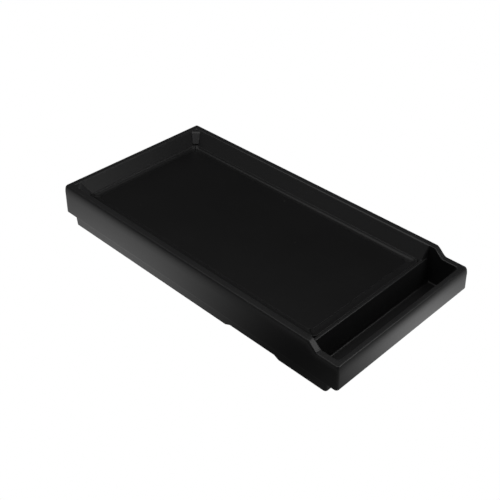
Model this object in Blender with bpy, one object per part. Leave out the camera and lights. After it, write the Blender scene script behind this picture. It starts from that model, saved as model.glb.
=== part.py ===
"""Shallow gaming-table tray: a hollow tray moulding screwed to a base pan.

The tray moulding has a raised rim, sloping inner walls, a flat basin and, at its
front end, a deep trough behind a lower rim.  A loose liner, a flat mat between four
coved edge strips, lies in the basin.  The base pan closes the tray from below and
stands on four rubber feet.

Lengths are worked out in millimetres from the back, near, skirt-bottom corner
of the tray (x forwards, y across, z up) and are placed in metres with the
origin under the middle of the tray, at the foot of the rubber feet.
"""
import math

import bmesh
import bpy
from mathutils import Vector

# ---------------------------------------------------------------- driving sizes
LENGTH = 400.0              # outside length, back to front
WIDTH = 202.6               # outside width
RIM_HIGH = 34.9             # rim height above the skirt's lower edge
RIM_LOW = 26.0              # rim height around the trough
PAN_DROP = 12.1             # the base pan's depth below the skirt
FOOT_DROP = 1.0             # how far the rubber feet stand out of the base
GAP = 0.3                   # clearance between neighbouring pieces
WALL = 2.3                  # moulding thickness

STEP_START = 361.0          # the rim starts to fall here
STEP_END = 374.5            # and is low from here on
CROWN_DEPTH = 12.0          # height of the rounded top of the outer wall
CROWN_INSET = 2.6           # how far that rounding leans in
WALL_DRAFT = 0.5            # inset of the outer wall below that rounding
OUTER_CORNER = 3.0          # radius of the upright outer corners
INNER_CORNER = 1.5          # radius of the upright corners inside and underneath

FLOOR_TOP = 16.0            # the basin floor, under the liner
FLOOR_THICK = 2.5
FOOT_OF_WALL = 21.1         # where the sloping walls meet the liner's edge
BASIN_BACK = 17.8           # inset of the wall's foot at the back end
BASIN_SIDE = 19.35          # inset of the wall's foot along the sides
RIM_BACK = 8.65             # inset of the rim's inner edge at the back end
RIM_SIDE = 9.1              # the same along the sides
RIM_FRONT = 7.4             # the same at the front end

DAM_BACK = 354.7            # ridge between basin and trough
DAM_FRONT = 357.9
TROUGH_FOOT_BACK = 362.1    # foot of the trough's back wall
TROUGH_FLOOR = -7.6
TROUGH_SIDE = 9.4           # inset of the trough's side walls at the rim
TROUGH_FOOT_FRONT = 18.0    # inset of the foot of the trough's front wall
TROUGH_MID_FRONT = 13.9     # inset halfway down that wall
# Heights of three steps down the inner walls, in the basin and in the trough,
# with the front wall's inset and the side walls' draft in the trough.
WALL_STEPS = ((28.0, 11.5, TROUGH_MID_FRONT, 0.4),
              (FOOT_OF_WALL, 2.5, TROUGH_FOOT_FRONT, 0.7),
              (14.3, -8.6, TROUGH_FOOT_FRONT + 0.2, 1.0))

POST_FOOT = (22.1, 4.4)     # corner post: height, and how far it stands out
POST_HEAD = (33.5, 5.6)
POST_EDGE = 1.5             # chamfer down the post's two edges

RIB_X = (83.5, 188.5, 291.5)
RIB_INSET = 65.0
RIB_LOW = 8.0
RIB_HALF = 0.8

LINER_FLOOR = 18.3          # the mat's upper face
LINER_EDGE = 20.9           # the top of the coved border
LINER_LIFT_CLEARANCE = 0.35
LINER_CORNER = 6.5
BORDER_EDGE = 0.8           # width of the border's flat top
BORDER_COVE = 6.5           # width of its cove beside the walls
BORDER_RAMP = 9.0           # and towards the trough
MITRE_OUT = 5.0             # how far the mitre outlines reach outside the border
MITRE_DEEP = 20.0           # and inside it
COVE_STEPS = 5

PAN_BACK = 14.0             # the pan stands in from both short ends
PAN_FRONT = 13.0
PAN_SIDE = 1.5              # and a little from the long sides
PAN_DRAFT = 0.4
PAN_CHAMFER = 0.6
PAN_BOTTOM_THICK = 1.8
PAN_WALL = 3.4
LIP_TOP = 2.5               # the pan's locating lips reach this far into the skirt
LIP_INSET = WALL + 0.5
LIP_FRONT = 349.0

NOTCH_LOW = (256.8, 329.7)  # finger notch at the pan's lower edge
NOTCH_HIGH = (264.4, 323.7)
NOTCH_HEIGHT = 3.6
NOTCH_DEPTH = 19.0
NOTCH_ROOF = 2.2            # thickness of the pan over the notch

SCREW_X = (30.0, 137.0, 240.0, 343.0)
SCREW_INSET = 30.0
SCREW_RADIUS = 1.4
SCREW_HEAD = 3.3
BOSS_RADIUS = 4.0
FOOT_X = (26.0, 346.0)
FOOT_INSET = 14.0
FOOT_RADIUS = 6.0

CORNER_STEPS = 5
ROUND_STEPS = 20

PAN_BOTTOM = -PAN_DROP
PAN_PLATE_TOP = PAN_BOTTOM + PAN_BOTTOM_THICK
SCREW_FACE = PAN_BOTTOM + 1.7
SCREW_SEAT = SCREW_FACE + 2.6
SCREW_TIP = SCREW_SEAT + 16.2


# ---------------------------------------------------------------- scene helpers
def clear_scene():
    for item in list(bpy.data.objects):
        bpy.data.objects.remove(item, do_unlink=True)


def make_material(name, colour, roughness, metallic=0.0):
    material = bpy.data.materials.new(name)
    material.use_nodes = True
    shader = material.node_tree.nodes["Principled BSDF"]
    shader.inputs["Base Color"].default_value = (*colour, 1.0)
    shader.inputs["Roughness"].default_value = roughness
    shader.inputs["Metallic"].default_value = metallic
    return material


def to_world(x, y, z):
    """Working millimetres to metres about the point under the tray's middle."""
    base = PAN_DROP + FOOT_DROP
    return Vector(((x - LENGTH / 2) / 1000, (y - WIDTH / 2) / 1000, (z + base) / 1000))


def make_object(name, mesh_data, material=None):
    mesh = bpy.data.meshes.new(name)
    bmesh.ops.recalc_face_normals(mesh_data, faces=mesh_data.faces)
    mesh_data.to_mesh(mesh)
    mesh_data.free()
    item = bpy.data.objects.new(name, mesh)
    bpy.context.collection.objects.link(item)
    if material:
        mesh.materials.append(material)
    return item


def combine(item, others, operation):
    """Union or cut a list of solids into one object, then drop them."""
    for other in others:
        cut = item.modifiers.new("combine", "BOOLEAN")
        cut.operation = operation
        cut.solver = "EXACT"
        cut.object = other
    bpy.context.view_layer.update()
    graph = bpy.context.evaluated_depsgraph_get()
    merged = bpy.data.meshes.new_from_object(item.evaluated_get(graph))
    item.modifiers.clear()
    item.data = merged
    for other in others:
        bpy.data.objects.remove(other, do_unlink=True)


def finish(item, angle=35.0):
    item.data.shade_smooth()
    item.data.set_sharp_from_angle(angle=math.radians(angle))


# ---------------------------------------------------------------- solid helpers
def loft(rings, closed=False):
    """Skin equal rings of points; an open stack is capped at both ends."""
    mesh_data = bmesh.new()
    loops = [[mesh_data.verts.new(to_world(*point)) for point in ring] for ring in rings]
    pairs = list(zip(loops, loops[1:]))
    if closed:
        pairs.append((loops[-1], loops[0]))
    for lower, upper in pairs:
        count = len(lower)
        for i in range(count):
            j = (i + 1) % count
            mesh_data.faces.new((lower[i], lower[j], upper[j], upper[i]))
    if not closed:
        mesh_data.faces.new(loops[0])
        mesh_data.faces.new(loops[-1])
    return mesh_data


def arc(cx, cy, radius, start):
    """Points of a quarter turn about (cx, cy), from the angle start in degrees."""
    angles = [math.radians(start + 90.0 * i / CORNER_STEPS) for i in range(CORNER_STEPS + 1)]
    return [(cx + radius * math.cos(a), cy + radius * math.sin(a)) for a in angles]


def rounded(x0, x1, y0, y1, radius, z):
    """A rounded rectangle, anticlockwise from above."""
    corners = arc(x1 - radius, y0 + radius, radius, -90)
    corners += arc(x1 - radius, y1 - radius, radius, 0)
    corners += arc(x0 + radius, y1 - radius, radius, 90)
    corners += arc(x0 + radius, y0 + radius, radius, 180)
    return [(x, y, z) for x, y in corners]


def block(x0, x1, y0, y1, z0, z1, name="block"):
    """A plain rectangular solid."""
    ring = ((x0, y0), (x1, y0), (x1, y1), (x0, y1))
    return make_object(name, loft([[(x, y, z) for x, y in ring] for z in (z0, z1)]))


def bar(outline, y0, y1, name="bar"):
    """An outline in x and z, carried across from y0 to y1."""
    return make_object(name, loft([[(x, y, z) for x, z in outline] for y in (y0, y1)]))


def turned(profile, x, y, steps=ROUND_STEPS):
    """A capped solid of revolution about the upright line through (x, y)."""
    angles = [2 * math.pi * i / steps for i in range(steps)]
    rings = [[(x + r * math.cos(a), y + r * math.sin(a), z) for a in angles] for r, z in profile]
    return loft(rings)


def rod(x, y, radius, z0, z1, steps=ROUND_STEPS):
    return make_object("rod", turned(((radius, z0), (radius, z1)), x, y, steps))


# ---------------------------------------------------------------- tray moulding
# Stations along the long sides.  The hollow underside changes from basin to
# trough one wall thickness behind the upper face, which leaves a partition.
UNDER_SWITCH = 354.9
UPPER_SWITCH = 357.1
SWITCH_STATIONS = (354.1, UNDER_SWITCH, UPPER_SWITCH, 357.7)
STEP_STATIONS = tuple(STEP_START + (STEP_END - STEP_START) * i / 8 for i in range(9))
STATIONS = SWITCH_STATIONS + STEP_STATIONS


def rim_height(x):
    """High along the basin, low around the trough, with a smooth fall between."""
    t = min(max((x - STEP_START) / (STEP_END - STEP_START), 0.0), 1.0)
    return RIM_HIGH - (RIM_HIGH - RIM_LOW) * t * t * (3 - 2 * t)


def tray_ring(back, front, side, trough_side, radius, heights, switch):
    """One ring round the moulding; heights gives z from x and basin or trough."""
    insets = [side if x <= switch else trough_side for x in STATIONS]
    ring = [(x, inset) for x, inset in zip(STATIONS, insets)]
    far = [(x, WIDTH - inset) for x, inset in zip(STATIONS, insets)]
    right = LENGTH - front - radius
    ring += arc(right, trough_side + radius, radius, -90)
    ring += arc(right, WIDTH - trough_side - radius, radius, 0)
    ring += far[::-1]
    ring += arc(back + radius, WIDTH - side - radius, radius, 90)
    ring += arc(back + radius, side + radius, radius, 180)
    return [(x, y, heights(x, x <= switch)) for x, y in ring]


def level(basin, trough):
    return lambda x, in_basin: basin if in_basin else trough


def below_rim(drop):
    return lambda x, in_basin: rim_height(x) - drop


def wall_run(inset_top, inset_foot, z):
    """Inset of a sloping basin wall at the height z."""
    run = (inset_foot - inset_top) / (RIM_HIGH - FOOT_OF_WALL)
    return inset_foot + run * (FOOT_OF_WALL - z)


def even(inset, radius, heights, switch=UPPER_SWITCH):
    return tray_ring(inset, inset, inset, inset, radius, heights, switch)


def tray_profile():
    """The rings of the hollow rim section, up the outside and back underneath."""
    rings = [even(0.0, OUTER_CORNER, level(0.0, 0.0))]
    for degrees in (0.0, 25.0, 45.0, 65.0, 90.0):
        lean = WALL_DRAFT + CROWN_INSET * (1 - math.cos(math.radians(degrees)))
        drop = CROWN_DEPTH * (1 - math.sin(math.radians(degrees)))
        rings.append(even(lean, OUTER_CORNER, below_rim(drop)))

    # Sloping basin walls beside the upright trough walls, from the rim down.
    slant = 1.24 * WALL
    upper, lower = UPPER_SWITCH, UNDER_SWITCH
    rings.append(tray_ring(RIM_BACK, RIM_FRONT, RIM_SIDE, TROUGH_SIDE, INNER_CORNER,
                           below_rim(0.0), upper))
    under = []
    for basin_z, trough_z, front, draft in WALL_STEPS:
        back = wall_run(RIM_BACK, BASIN_BACK, basin_z)
        side = wall_run(RIM_SIDE, BASIN_SIDE, basin_z)
        heights = level(basin_z, trough_z)
        rings.append(tray_ring(back, front, side, TROUGH_SIDE + draft, INNER_CORNER, heights, upper))
        under.append(tray_ring(back - slant, front - WALL, side - slant, TROUGH_SIDE + draft - WALL,
                               INNER_CORNER, heights, lower))
    rings += under[::-1]

    back_high = wall_run(RIM_BACK, BASIN_BACK, RIM_HIGH - WALL)
    side_high = wall_run(RIM_SIDE, BASIN_SIDE, RIM_HIGH - WALL)
    rings.append(tray_ring(back_high - slant, RIM_FRONT - 1.4, side_high - slant,
                           TROUGH_SIDE - WALL, INNER_CORNER, below_rim(WALL), lower))
    rings.append(even(WALL_DRAFT + CROWN_INSET + 0.8, INNER_CORNER, below_rim(WALL), lower))
    rings.append(even(WALL_DRAFT + WALL, INNER_CORNER, below_rim(CROWN_DEPTH), lower))
    rings.append(even(WALL, INNER_CORNER, level(0.0, 0.0), lower))
    return rings


def corner_post(near):
    """A tapered diagonal post that fills a back corner of the basin."""
    rings = []
    for z, stand in (POST_FOOT, POST_HEAD):
        x = wall_run(RIM_BACK, BASIN_BACK, z)
        y = wall_run(RIM_SIDE, BASIN_SIDE, z)
        reach = stand * math.sqrt(2)
        hidden = 0.9
        outline = ((x - hidden, y - hidden), (x + reach, y - hidden),
                   (x + reach - POST_EDGE, y + POST_EDGE),
                   (x + POST_EDGE, y + reach - POST_EDGE),
                   (x - hidden, y + reach))
        rings.append([(px, py if near else WIDTH - py, z) for px, py in outline])
    return make_object("post", loft(rings))


def tray_ribs():
    """Shallow stiffening ribs under the basin floor."""
    top, inset = FLOOR_TOP - 1.5, BASIN_SIDE + 6.5
    ribs = [block(x - RIB_HALF, x + RIB_HALF, inset, WIDTH - inset, RIB_LOW, top) for x in RIB_X]
    for y in (RIB_INSET, WIDTH - RIB_INSET):
        ribs.append(block(40.0, DAM_BACK - 20.0, y - RIB_HALF, y + RIB_HALF, RIB_LOW + 0.5, top))
    return ribs


def screw_places():
    return [(x, y) for x in SCREW_X for y in (SCREW_INSET, WIDTH - SCREW_INSET)]


def make_tray_shell(material):
    tray = make_object("tray_shell", loft(tray_profile(), closed=True), material)
    side = wall_run(RIM_SIDE, BASIN_SIDE, WALL_STEPS[-1][0]) - 1.75
    back = wall_run(RIM_BACK, BASIN_BACK, WALL_STEPS[-1][0]) - 1.75
    floor_low = FLOOR_TOP - FLOOR_THICK
    slab_low = TROUGH_FLOOR - 2.0
    end = TROUGH_SIDE - 0.3
    back_wall = ((DAM_BACK, floor_low - 1.8), (DAM_BACK, FOOT_OF_WALL), (DAM_FRONT, FOOT_OF_WALL),
                 (TROUGH_FOOT_BACK + 0.17, TROUGH_FLOOR - 1.2),
                 (TROUGH_FOOT_BACK - WALL, TROUGH_FLOOR - 1.2))
    solids = [
        block(back, DAM_BACK + 2.0, side, WIDTH - side, floor_low, FLOOR_TOP),
        bar(back_wall, end - 0.2, WIDTH - end + 0.2),
        block(TROUGH_FOOT_BACK - 1.2, LENGTH - TROUGH_FOOT_FRONT + 1.1, end, WIDTH - end,
              slab_low, TROUGH_FLOOR),
        corner_post(True),
        corner_post(False),
    ]
    solids += [rod(x, y, BOSS_RADIUS, 0.2, FLOOR_TOP - 1.2) for x, y in screw_places()]
    solids += tray_ribs()
    combine(tray, solids, "UNION")
    pilots = [rod(x, y, SCREW_RADIUS + 0.35, -1.0, floor_low - 1.5, 12) for x, y in screw_places()]
    combine(tray, pilots, "DIFFERENCE")
    finish(tray)
    return tray


# ---------------------------------------------------------------- basin liner
def liner_ring(inset, ramp, radius, z, against_walls=LINER_EDGE):
    """A rounded outline so far inside the walls, and ramp behind the ridge."""
    back = wall_run(RIM_BACK, BASIN_BACK, against_walls) + LINER_LIFT_CLEARANCE + inset
    side = wall_run(RIM_SIDE, BASIN_SIDE, against_walls) + LINER_LIFT_CLEARANCE + inset
    return rounded(back, DAM_BACK - GAP - ramp, side, WIDTH - side, radius, z)


def mitre_outlines():
    """Plan outlines of the border's four strips, cut at 45 degrees with a gap at each mitre."""
    x0, x1, y0, y1 = BASIN_BACK, DAM_BACK, BASIN_SIDE, WIDTH - BASIN_SIDE
    out, deep, shy = MITRE_OUT, MITRE_DEEP, GAP / math.sqrt(2.0)
    return {
        "near": [(x0 - out + shy, y0 - out), (x1 + out - shy, y0 - out),
                 (x1 - deep - shy, y0 + deep), (x0 + deep + shy, y0 + deep)],
        "far": [(x0 + deep + shy, y1 - deep), (x1 - deep - shy, y1 - deep),
                (x1 + out - shy, y1 + out), (x0 - out + shy, y1 + out)],
        "back": [(x0 - out, y0 - out + shy), (x0 + deep, y0 + deep + shy),
                 (x0 + deep, y1 - deep - shy), (x0 - out, y1 + out - shy)],
        "front": [(x1 + out, y0 - out + shy), (x1 + out, y1 + out - shy),
                  (x1 - deep, y1 - deep - shy), (x1 - deep, y0 + deep + shy)],
    }


def make_liner_strip(name, outline, material):
    """One strip of the liner's border, coved from its thin upper edge down to the mat."""
    low = FLOOR_TOP + GAP
    rings = [liner_ring(0.0, 0.0, LINER_CORNER - 1.5, low, low),
             liner_ring(0.0, 0.0, LINER_CORNER, LINER_EDGE)]
    for step in range(COVE_STEPS + 1):
        t = step / COVE_STEPS
        z = LINER_FLOOR + (LINER_EDGE - LINER_FLOOR) * (1 - t) ** 2
        rings.append(liner_ring(BORDER_EDGE + BORDER_COVE * t, BORDER_EDGE + BORDER_RAMP * t,
                                LINER_CORNER, z))
    rings.append(liner_ring(BORDER_EDGE + BORDER_COVE, BORDER_EDGE + BORDER_RAMP, LINER_CORNER, low))
    strip = make_object(name, loft(rings, closed=True), material)
    sides = [[(x, y, z) for x, y in outline] for z in (low - 1.0, LINER_EDGE + 1.0)]
    combine(strip, [make_object("mitre", loft(sides))], "INTERSECT")
    finish(strip)
    return strip


def make_liner_mat(material):
    """The flat mat inside the border."""
    low = FLOOR_TOP + GAP
    round_edge = 0.3
    inset, ramp = BORDER_EDGE + BORDER_COVE + GAP, BORDER_EDGE + BORDER_RAMP + GAP
    rings = [liner_ring(inset, ramp, LINER_CORNER, z) for z in (low, LINER_FLOOR - round_edge)]
    rings.append(liner_ring(inset + round_edge, ramp + round_edge, LINER_CORNER, LINER_FLOOR))
    mat = make_object("liner_mat", loft(rings), material)
    finish(mat)
    return mat


# ---------------------------------------------------------------- base pan
def finger_pocket(near):
    """The pan's ceiling over a finger notch, and the cutter for the notch."""
    y_in = NOTCH_DEPTH + NOTCH_ROOF
    ceiling = (NOTCH_LOW[0] - 4.0, NOTCH_LOW[1] + 4.0)
    roof = PAN_BOTTOM + NOTCH_HEIGHT
    y_out = PAN_SIDE + 1.6
    outer, inner = (y_out, y_in) if near else (WIDTH - y_in, WIDTH - y_out)
    raised = block(ceiling[0], ceiling[1], outer, inner, PAN_PLATE_TOP - 0.8, roof + NOTCH_ROOF)
    slope = (NOTCH_HIGH[0] - NOTCH_LOW[0]) / NOTCH_HEIGHT
    below = 0.6
    outline = ((NOTCH_LOW[0] - slope * below, PAN_BOTTOM - below), (NOTCH_HIGH[0], roof),
               (NOTCH_HIGH[1], roof), (NOTCH_LOW[1] + slope * below, PAN_BOTTOM - below))
    y0, y1 = (-1.0, NOTCH_DEPTH) if near else (WIDTH - NOTCH_DEPTH, WIDTH + 1.0)
    return raised, bar(outline, y0, y1)


def foot_places():
    return [(x, y) for x in FOOT_X for y in (FOOT_INSET, WIDTH - FOOT_INSET)]


def pan_flanges():
    """The locating lips inside the skirt and the flanges under the short ends."""
    def outline(x0, x1, z):
        return rounded(x0, x1, LIP_INSET, WIDTH - LIP_INSET, 1.0, z)

    rear_in, front_in, end_inset = PAN_BACK, LENGTH - PAN_FRONT, LIP_INSET + 2.0
    levels = (GAP, LIP_TOP)
    solids = [
        make_object("flange", loft([outline(LIP_INSET, rear_in + 1.4, z) for z in levels])),
        make_object("flange", loft([outline(front_in - 1.4, LENGTH - LIP_INSET, z) for z in levels])),
        block(rear_in + 0.1, rear_in + WALL, end_inset, WIDTH - end_inset, -2.0, LIP_TOP - 0.1),
        block(front_in - 2.1, front_in - 0.1, end_inset, WIDTH - end_inset, -2.0, LIP_TOP - 0.1),
    ]
    for y in (LIP_INSET, WIDTH - LIP_INSET - WALL):
        solids.append(block(rear_in - 4.0, LIP_FRONT, y, y + WALL, -2.4, LIP_TOP - 0.2))
    return solids


def make_base_pan(material):
    top = -GAP

    def outline(extra, z):
        side = PAN_SIDE + extra
        return rounded(PAN_BACK + extra, LENGTH - PAN_FRONT - extra, side, WIDTH - side,
                       OUTER_CORNER, z)

    rings = [outline(PAN_DRAFT + PAN_CHAMFER, PAN_BOTTOM), outline(PAN_DRAFT, PAN_BOTTOM + PAN_CHAMFER),
             outline(0.0, top)]
    pan = make_object("base_pan", loft(rings), material)
    inside = make_object("inside", loft([
        rounded(PAN_BACK + WALL, LENGTH - PAN_FRONT - 2.0, PAN_SIDE + PAN_WALL,
                WIDTH - PAN_SIDE - PAN_WALL, INNER_CORNER, z) for z in (PAN_PLATE_TOP, 5.0)]))
    combine(pan, [inside], "DIFFERENCE")

    pockets = [finger_pocket(True), finger_pocket(False)]
    solids = pan_flanges() + [raised for raised, notch in pockets]
    solids += [rod(x, y, BOSS_RADIUS + 1.5, PAN_PLATE_TOP - 0.7, top) for x, y in screw_places()]
    solids += [rod(x, y, FOOT_RADIUS + 2.5, PAN_PLATE_TOP - 0.5, PAN_PLATE_TOP + 2.2)
               for x, y in foot_places()]
    combine(pan, solids, "UNION")

    cutters = [notch for raised, notch in pockets]
    for x, y in screw_places():
        cutters.append(rod(x, y, SCREW_HEAD + 0.5, PAN_BOTTOM - 1.0, SCREW_SEAT + 0.4))
        cutters.append(rod(x, y, SCREW_RADIUS + 0.7, SCREW_SEAT, 1.0, 16))
    for x, y in foot_places():
        cutters.append(rod(x, y, FOOT_RADIUS + GAP, PAN_BOTTOM - 1.0, PAN_BOTTOM + 2.0, 24))
    combine(pan, cutters, "DIFFERENCE")
    finish(pan)
    return pan


# ---------------------------------------------------------------- screws and feet
def make_screw(name, x, y, material):
    """A pan-head screw, head down, with a cross recess."""
    face, shank = SCREW_FACE, SCREW_RADIUS
    profile = ((1.9, face), (2.9, face + 0.5), (SCREW_HEAD, face + 1.4), (SCREW_HEAD, SCREW_SEAT),
               (shank, SCREW_SEAT), (shank, SCREW_TIP - 2.0), (0.4, SCREW_TIP))
    screw = make_object(name, turned(profile, x, y, 16), material)
    long, short = 1.7, 0.4
    arms = [block(x - long, x + long, y - short, y + short, face - 1.0, face + 1.2),
            block(x - short, x + short, y - long, y + long, face - 1.0, face + 1.1)]
    combine(screw, arms, "DIFFERENCE")
    finish(screw)
    return screw


def make_foot(name, x, y, material):
    low = PAN_BOTTOM - FOOT_DROP
    profile = ((FOOT_RADIUS - 0.6, low), (FOOT_RADIUS - 0.15, low + 0.25), (FOOT_RADIUS, low + 0.7),
               (FOOT_RADIUS, PAN_BOTTOM + 1.7))
    foot = make_object(name, turned(profile, x, y, 24), material)
    finish(foot)
    return foot


def build():
    clear_scene()
    shell_plastic = make_material("shell_plastic", (0.012, 0.012, 0.013), 0.34)
    pan_plastic = make_material("pan_plastic", (0.014, 0.014, 0.015), 0.42)
    liner_plastic = make_material("liner_plastic", (0.011, 0.011, 0.012), 0.36)
    mat_plastic = make_material("mat_plastic", (0.009, 0.009, 0.010), 0.42)
    rubber = make_material("foot_rubber", (0.018, 0.018, 0.018), 0.8)
    steel = make_material("screw_steel", (0.22, 0.22, 0.23), 0.35, 1.0)

    make_tray_shell(shell_plastic)
    for side, outline in mitre_outlines().items():
        make_liner_strip(f"liner_edge_{side}", outline, liner_plastic)
    make_liner_mat(mat_plastic)
    make_base_pan(pan_plastic)
    for number, (x, y) in enumerate(screw_places(), 1):
        make_screw(f"base_screw_{number}", x, y, steel)
    for number, (x, y) in enumerate(foot_places(), 1):
        make_foot(f"rubber_foot_{number}", x, y, rubber)


build()
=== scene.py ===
import math

import bmesh
import bpy
import numpy as np
from bpy.props import FloatProperty, FloatVectorProperty, PointerProperty
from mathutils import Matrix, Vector


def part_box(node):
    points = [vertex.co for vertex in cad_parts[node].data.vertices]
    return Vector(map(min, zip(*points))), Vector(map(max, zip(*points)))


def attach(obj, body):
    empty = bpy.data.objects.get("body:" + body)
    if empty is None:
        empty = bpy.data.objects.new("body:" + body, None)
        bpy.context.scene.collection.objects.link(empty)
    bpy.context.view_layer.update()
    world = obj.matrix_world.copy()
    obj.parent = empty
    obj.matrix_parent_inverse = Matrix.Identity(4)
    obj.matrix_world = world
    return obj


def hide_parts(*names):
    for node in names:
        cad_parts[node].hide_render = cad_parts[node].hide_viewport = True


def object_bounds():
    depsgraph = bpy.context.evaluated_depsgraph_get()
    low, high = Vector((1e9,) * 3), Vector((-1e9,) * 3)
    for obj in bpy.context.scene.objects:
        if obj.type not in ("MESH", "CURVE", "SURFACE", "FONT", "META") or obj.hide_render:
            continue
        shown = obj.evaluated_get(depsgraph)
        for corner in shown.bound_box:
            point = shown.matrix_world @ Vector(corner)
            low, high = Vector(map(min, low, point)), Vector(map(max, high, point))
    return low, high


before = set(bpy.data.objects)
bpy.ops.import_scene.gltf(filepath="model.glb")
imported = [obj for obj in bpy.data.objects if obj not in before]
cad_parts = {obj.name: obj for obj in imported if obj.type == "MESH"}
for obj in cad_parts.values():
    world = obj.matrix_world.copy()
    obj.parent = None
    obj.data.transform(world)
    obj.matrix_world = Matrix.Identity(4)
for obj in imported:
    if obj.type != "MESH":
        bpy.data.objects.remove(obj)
CAD_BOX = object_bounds()

bl_info = {
    "name": "Gaming-table tray",
    "version": (1, 0, 0),
    "blender": (4, 5, 0),
    "location": "View3D > Sidebar > Tray",
    "description": "Builds the visible surfaces and finishes of a moulded gaming-table tray",
    "category": "Object",
}

# Section sizes are in millimetres from the tray's back, near, skirt-bottom corner:
# x runs forwards, y across and z up.  place() puts such points into the row frame.
MM = 0.001
SHELL_LOW, SHELL_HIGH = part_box("tray_shell")
STRIP_LOW, STRIP_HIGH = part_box("liner_edge_near")
MAT_LOW, MAT_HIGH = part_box("liner_mat")
RIM_HIGH = 34.9
RIM_LOW = 26.0
ORIGIN = np.array((SHELL_LOW.x, SHELL_LOW.y, SHELL_HIGH.z - RIM_HIGH * MM))
LENGTH = (SHELL_HIGH.x - SHELL_LOW.x) / MM
WIDTH = (SHELL_HIGH.y - SHELL_LOW.y) / MM

STEP_START, STEP_END = 361.0, 374.5
CROWN_DEPTH, CROWN_INSET = 12.0, 2.6
WALL_DRAFT = 0.5
WALL = 2.3

FLOOR_TOP = 16.0
DAM_BACK, DAM_FRONT, DAM_TOP = 354.7, 357.9, 21.1
TROUGH_FOOT, TROUGH_FLOOR = 362.1, -7.6

RIM_SIDE, BASIN_SIDE = 9.1, 19.35
RIM_BACK, BASIN_BACK = 8.65, 17.8
RIM_FRONT, TROUGH_SIDE = 7.4, 9.4
SHORT_CORNER = 1.5          # radius of the basin's upright corners
SIDE_RUN = (BASIN_SIDE - RIM_SIDE) / (RIM_HIGH - DAM_TOP)
BACK_RUN = (BASIN_BACK - RIM_BACK) / (RIM_HIGH - DAM_TOP)


# ---------------------------------------------------------------- properties
def length(name, description, default):
    """A size in metres."""
    return FloatProperty(name=name, description=description, default=default, min=0.0,
                         unit="LENGTH", precision=5)


def colour(name, description, default):
    """A linear colour."""
    return FloatVectorProperty(name=name, description=description, default=default, size=3,
                               min=0.0, max=1.0, subtype="COLOR")


def factor(name, description, default):
    """A number between 0 and 1."""
    return FloatProperty(name=name, description=description, default=default, min=0.0, max=1.0,
                         subtype="FACTOR")


class TraySizes(bpy.types.PropertyGroup):
    """Edge roundings and small features of the moulded pieces"""

    rim_round: length("Rim rounding", "Rounding of the rim's inner edge", 0.0013)
    skirt_round: length("Skirt rounding", "Rounding of the skirt's lower edge", 0.0006)
    outer_corner: length("Outer corner", "Radius of the tray's upright outer corners", 0.0030)
    inner_corner: length("Inner corner", "Radius of the trough's upright inner corners", 0.0040)
    crest_round: length("Crest rounding", "Rounding of the ridge between basin and trough", 0.0012)
    trough_fillet: length("Trough fillet", "Fillet around the trough's floor", 0.0025)
    liner_cove: length("Liner cove", "Width of the coved strips along the walls", 0.0065)
    liner_ramp: length("Liner ramp", "Width of the coved strip along the trough", 0.0090)
    mat_round: length("Mat rounding", "Rounding of the mat's upper edge", 0.0003)
    post_round: length("Post rounding", "Rounding of the corner posts' edges", 0.0012)


class TrayFinish(bpy.types.PropertyGroup):
    """Colours and gloss of the pieces"""

    shell_colour: colour("Shell", "Colour of the tray moulding", (0.020, 0.020, 0.0205))
    liner_colour: colour("Liner", "Colour of the liner's edge strips", (0.014, 0.014, 0.0143))
    mat_colour: colour("Mat", "Colour of the liner's mat", (0.004, 0.004, 0.0042))
    pan_colour: colour("Pan", "Colour of the base pan", (0.020, 0.020, 0.0205))
    rubber_colour: colour("Rubber", "Colour of the feet", (0.016, 0.016, 0.016))
    steel_colour: colour("Steel", "Colour of the screws", (0.34, 0.34, 0.33))
    shell_gloss: factor("Shell roughness", "Roughness of the tray moulding", 0.32)
    liner_gloss: factor("Liner roughness", "Roughness of the liner's edge strips", 0.34)
    mat_gloss: factor("Mat roughness", "Roughness of the liner's mat", 0.38)


class StudioSettings(bpy.types.PropertyGroup):
    """The stage around the tray"""

    floor_level: FloatProperty(name="Floor light", description="Brightness of the pale floor",
                               default=0.30, min=0.0)
    top_power: FloatProperty(name="Top light", description="Power of the overhead soft light",
                             default=5.0, min=0.0, unit="POWER")
    right_power: FloatProperty(name="Right light", description="Power of the panel at the far right",
                               default=0.4, min=0.0, unit="POWER")
    slope_power: FloatProperty(name="Low right light", description="Power of the small low panel",
                               default=0.3, min=0.0, unit="POWER")
    left_power: FloatProperty(name="Left light", description="Power of the panel at the near left",
                              default=0.25, min=0.0, unit="POWER")
    sky_level: FloatProperty(name="Room level", description="Brightness of the room's upper half",
                             default=0.05, min=0.0)


# ---------------------------------------------------------------- curves and grids
def place(points):
    """Section millimetres to metres in the row frame."""
    return ORIGIN + np.asarray(points) * MM


def ease(t):
    """Smooth step: 3t^2 - 2t^3 between 0 and 1."""
    t = np.clip(t, 0.0, 1.0)
    return t * t * (3.0 - 2.0 * t)


def mix(a, b, t):
    """Straight line from a at t = 0 to b at t = 1."""
    return a + (b - a) * t


def bend(p0, p1, p2, count):
    """Quadratic curve from p0 to p2 that leaves towards p1, the corner it rounds."""
    t = np.linspace(0.0, 1.0, count)[:, None]
    p0, p1, p2 = (np.asarray(p, float) for p in (p0, p1, p2))
    return (1 - t) ** 2 * p0 + 2 * t * (1 - t) * p1 + t * t * p2


def strip_faces(rows, count, offset=0, closed=True):
    """Quads between neighbouring rows of count points each."""
    r = np.arange(rows - 1)[:, None] * count
    s = np.arange(count if closed else count - 1)[None, :]
    after = (s + 1) % count
    quads = np.stack(np.broadcast_arrays(r + s, r + after, r + count + after, r + count + s), -1)
    return quads.reshape(-1, 4) + offset


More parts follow.
